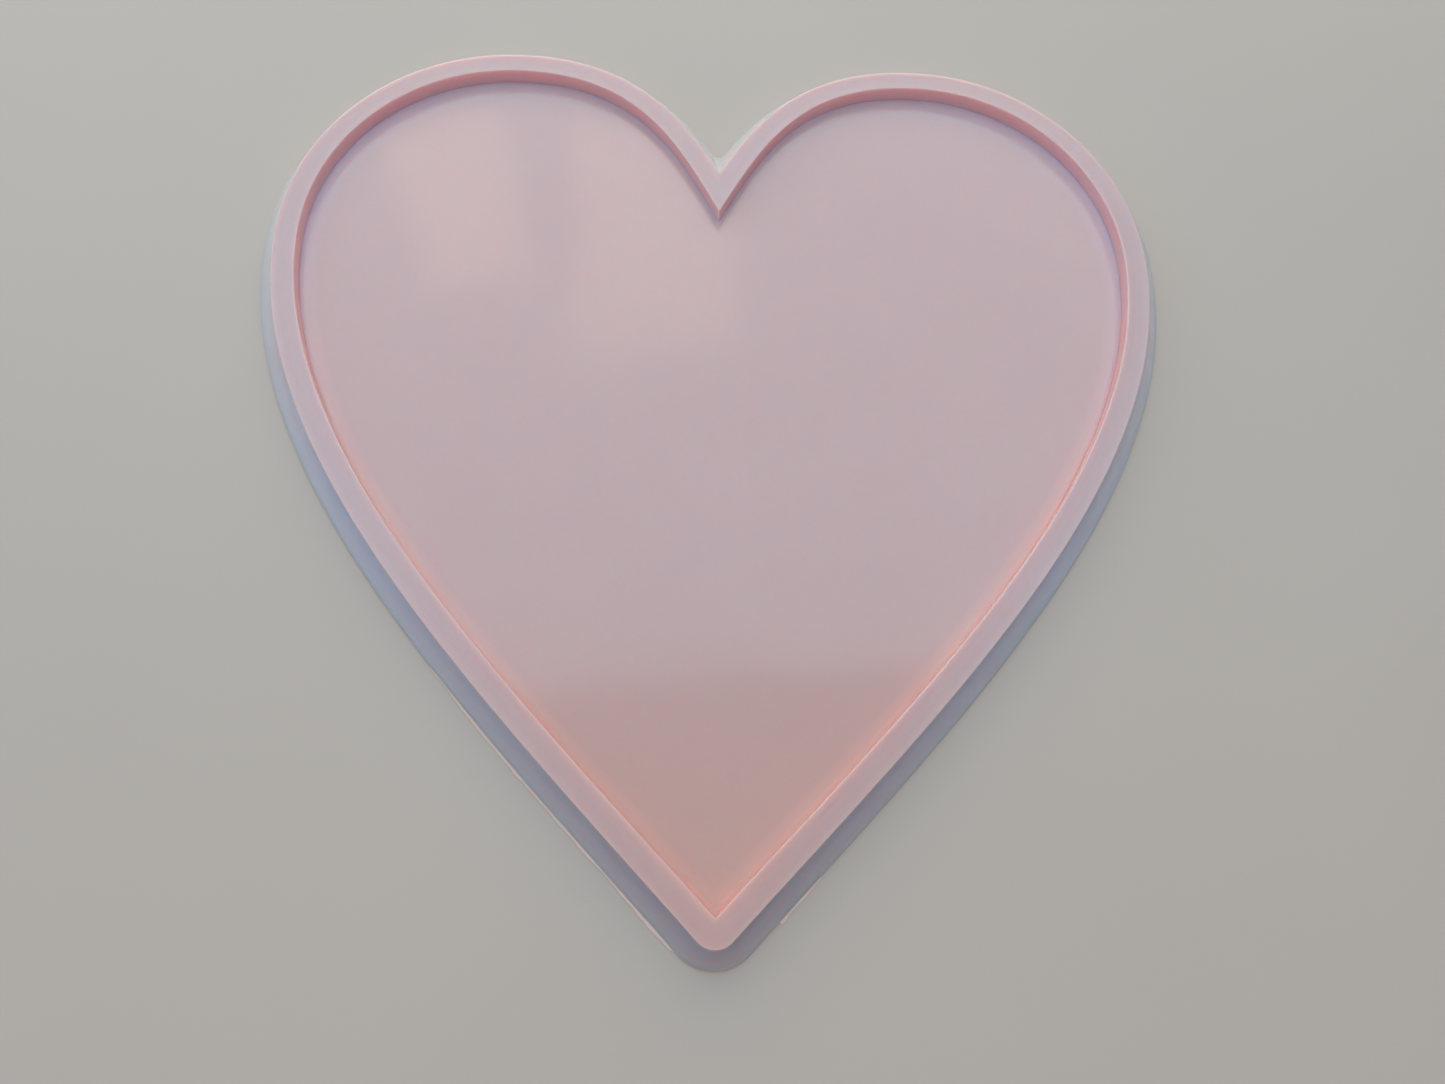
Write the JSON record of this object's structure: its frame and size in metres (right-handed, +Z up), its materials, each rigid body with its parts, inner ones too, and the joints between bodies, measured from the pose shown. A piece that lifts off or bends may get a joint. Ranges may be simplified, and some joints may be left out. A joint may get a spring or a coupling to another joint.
{
  "type": "resin casting mould",
  "caption": "Open silicone mould with a shallow flat heart-shaped cavity, a flat raised rim and a flared base, for casting a flat heart in resin.",
  "frame": {"origin": "middle of the underside, on the surface that the mould lies on", "axes": "+Z up out of the open cavity, +Y towards the notch and lobes of the heart, -Y towards its tip, +X to the right seen from above with the notch at the top"},
  "size_m": [0.328, 0.338, 0.009],
  "materials": {
    "silicone": "pale pink translucent silicone: glossy on the cavity floor, satin on the rim and walls",
    "silicone_flash": "the same silicone as a thin torn feather, paler because light passes through it"
  },
  "bodies": {
    "root": {"mould_body": "silicone", "flash_left": "silicone_flash", "flash_right": "silicone_flash"}
  },
  "joints": []
}
